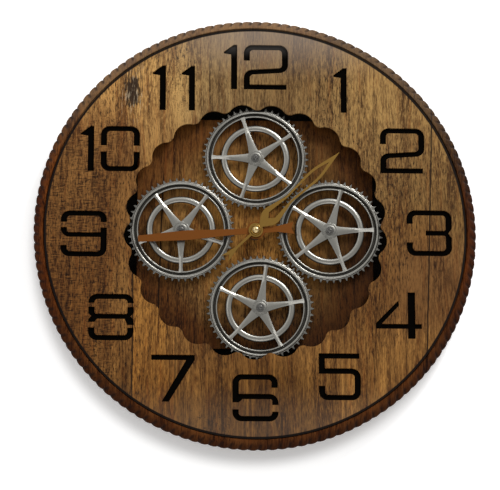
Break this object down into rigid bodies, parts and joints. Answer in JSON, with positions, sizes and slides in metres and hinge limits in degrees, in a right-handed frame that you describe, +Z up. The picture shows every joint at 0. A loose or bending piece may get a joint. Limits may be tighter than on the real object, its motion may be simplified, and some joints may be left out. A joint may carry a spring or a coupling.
{
  "type": "wooden gear clock",
  "caption": "Round wooden wall clock with stencil-cut numerals and a scalloped window over meshed metal spoked gears, with hour and minute hands.",
  "frame": {"origin": "on the axis of the hands, in the plane of the rear face that rests on the wall", "axes": "+Z up when hung, +X to the viewer's right, +Y into the wall, so the dial faces -Y"},
  "size_m": [0.6, 0.0516, 0.6],
  "materials": {
    "rim_wood": "printed brown wood grain, satin",
    "face_wood": "printed plank grain, golden to reddish brown, satin",
    "panel_wood": "printed plank grain, darker, satin",
    "band_wood": "dark stained, matt",
    "block_wood": "raw softwood",
    "board_wood": "fibreboard, stained black",
    "black_card": "black, matt",
    "black_plastic": "black, fine grain",
    "white_plastic": "white, moulded",
    "gear_metal": "cast, pewter tone, polished high parts",
    "hour_bronze": "bronze brown, brushed",
    "hand_gold": "polished gold tone",
    "brass": "turned",
    "steel": "zinc plated",
    "dark_steel": "black zinc",
    "rubber": "black",
    "copper_wire": "lacquered copper winding",
    "circuit": "green lacquered board",
    "cell": "plain blue wrapped cell"
  },
  "bodies": {
    "clock_case": {"outer_rim": "rim_wood", "side_band": "band_wood", "face_panel": "face_wood", "numeral_backing": "black_card", "front_blocks": "block_wood", "inset_panel": "panel_wood", "rear_blocks": "block_wood", "back_board": "board_wood", "back_screws": "dark_steel", "service_cover": "black_plastic", "cover_screws": "dark_steel", "hanger_plate": "steel", "hanger_rivets": "steel", "gear_axles": "steel", "axle_nuts": "steel", "gear_washers": "steel", "gear_screws": "steel", "movement_case": "black_plastic", "movement_plate": "black_plastic", "movement_bushing": "brass", "bushing_washer": "rubber", "bushing_nut": "brass", "movement_pivots": "steel", "coil": "copper_wire", "stator": "steel", "circuit_board": "circuit", "movement_battery": "cell", "movement_contacts": "steel", "drive_case": "black_plastic", "drive_plate": "black_plastic", "drive_bushing": "brass", "drive_nut": "brass", "drive_pivot": "steel", "drive_motor": "steel", "drive_battery": "cell", "drive_contacts": "steel"},
    "bottom_gear_shaft": {"bottom_gear": "gear_metal", "output_wheel": "brass", "bottom_gear_washer": "steel", "bottom_gear_screw": "steel"},
    "right_gear_wheel": {"right_gear": "gear_metal"},
    "top_gear_wheel": {"top_gear": "gear_metal"},
    "left_gear_wheel": {"left_gear": "gear_metal"},
    "minute_arbor": {"minute_shaft": "steel", "minute_hand": "hand_gold", "hand_collar": "hand_gold", "cap_nut": "brass"},
    "hour_pipe": {"hour_wheel": "white_plastic", "hour_hand": "hour_bronze"},
    "minute_work": {"minute_work_wheel": "white_plastic"},
    "setter": {"setting_knob": "black_plastic"},
    "third": {"third_wheel": "white_plastic"},
    "centre": {"centre_wheel": "brass"},
    "seconds": {"seconds_wheel": "white_plastic"},
    "intermediate": {"intermediate_wheel": "white_plastic"},
    "step_rotor": {"rotor": "white_plastic"},
    "reduction": {"reduction_wheel": "white_plastic"},
    "motor_armature": {"drive_rotor": "brass"},
    "switch_slider": {"drive_switch": "white_plastic"}
  },
  "joints": [
    {"name": "bottom_gear_turn", "type": "hinge", "parent": "clock_case", "child": "bottom_gear_shaft", "pos_m": [0.0064, -0.0362, -0.10547], "axis": [0, 1, 0], "continuous": true},
    {"name": "right_gear_turn", "type": "hinge", "parent": "clock_case", "child": "right_gear_wheel", "pos_m": [0.10073, -0.0362, 0.002], "axis": [0, 1, 0], "continuous": true},
    {"name": "top_gear_turn", "type": "hinge", "parent": "clock_case", "child": "top_gear_wheel", "pos_m": [0, -0.0362, 0.1035], "axis": [0, 1, 0], "continuous": true},
    {"name": "left_gear_turn", "type": "hinge", "parent": "clock_case", "child": "left_gear_wheel", "pos_m": [-0.10073, -0.0362, 0.002], "axis": [0, 1, 0], "continuous": true},
    {"name": "reduction_turn", "type": "hinge", "parent": "clock_case", "child": "reduction", "pos_m": [-0.00209, -0.016, -0.09699], "axis": [0, 1, 0], "continuous": true},
    {"name": "motor_turn", "type": "hinge", "parent": "clock_case", "child": "motor_armature", "pos_m": [0.00657, -0.012, -0.09199], "axis": [0, 1, 0], "continuous": true},
    {"name": "minute_hand_turn", "type": "hinge", "parent": "clock_case", "child": "minute_arbor", "pos_m": [0, -0.0471, 0], "axis": [0, 1, 0], "continuous": true},
    {"name": "hour_hand_turn", "type": "hinge", "parent": "clock_case", "child": "hour_pipe", "pos_m": [0, -0.0442, 0], "axis": [0, 1, 0], "continuous": true},
    {"name": "minute_work_turn", "type": "hinge", "parent": "clock_case", "child": "minute_work", "pos_m": [-0.00849, -0.017, 0.00849], "axis": [0, 1, 0], "continuous": true},
    {"name": "setting_knob_turn", "type": "hinge", "parent": "clock_case", "child": "setter", "pos_m": [-0.01976, -0.01, 0.00438], "axis": [0, 1, 0], "continuous": true},
    {"name": "seconds_wheel_turn", "type": "hinge", "parent": "clock_case", "child": "seconds", "pos_m": [0, -0.009, 0], "axis": [0, 1, 0], "continuous": true},
    {"name": "centre_wheel_turn", "type": "hinge", "parent": "clock_case", "child": "centre", "pos_m": [0, -0.0128, 0], "axis": [0, 1, 0], "continuous": true},
    {"name": "third_wheel_turn", "type": "hinge", "parent": "clock_case", "child": "third", "pos_m": [0.009, -0.012, 0], "axis": [0, 1, 0], "continuous": true},
    {"name": "intermediate_wheel_turn", "type": "hinge", "parent": "clock_case", "child": "intermediate", "pos_m": [0.00438, -0.0096, 0.00758], "axis": [0, 1, 0], "continuous": true},
    {"name": "step_rotor_turn", "type": "hinge", "parent": "clock_case", "child": "step_rotor", "pos_m": [0.00813, -0.012, 0.01407], "axis": [0, 1, 0], "continuous": true},
    {"name": "switch_slide", "type": "slide", "parent": "clock_case", "child": "switch_slider", "axis": [1, 0, 0], "range_m": [-0.002, 0.002]}
  ],
  "couplings": [
    {"joint": "right_gear_turn", "follows": "bottom_gear_turn", "ratio": -1},
    {"joint": "top_gear_turn", "follows": "bottom_gear_turn", "ratio": 1},
    {"joint": "left_gear_turn", "follows": "bottom_gear_turn", "ratio": -1},
    {"joint": "reduction_turn", "follows": "bottom_gear_turn", "ratio": -4},
    {"joint": "motor_turn", "follows": "bottom_gear_turn", "ratio": 16},
    {"joint": "hour_hand_turn", "follows": "minute_hand_turn", "ratio": 0.083333},
    {"joint": "minute_work_turn", "follows": "minute_hand_turn", "ratio": -0.33333},
    {"joint": "setting_knob_turn", "follows": "minute_hand_turn", "ratio": 1},
    {"joint": "centre_wheel_turn", "follows": "seconds_wheel_turn", "ratio": 0.016667},
    {"joint": "third_wheel_turn", "follows": "seconds_wheel_turn", "ratio": -0.13333},
    {"joint": "intermediate_wheel_turn", "follows": "seconds_wheel_turn", "ratio": -6},
    {"joint": "step_rotor_turn", "follows": "seconds_wheel_turn", "ratio": 30}
  ]
}
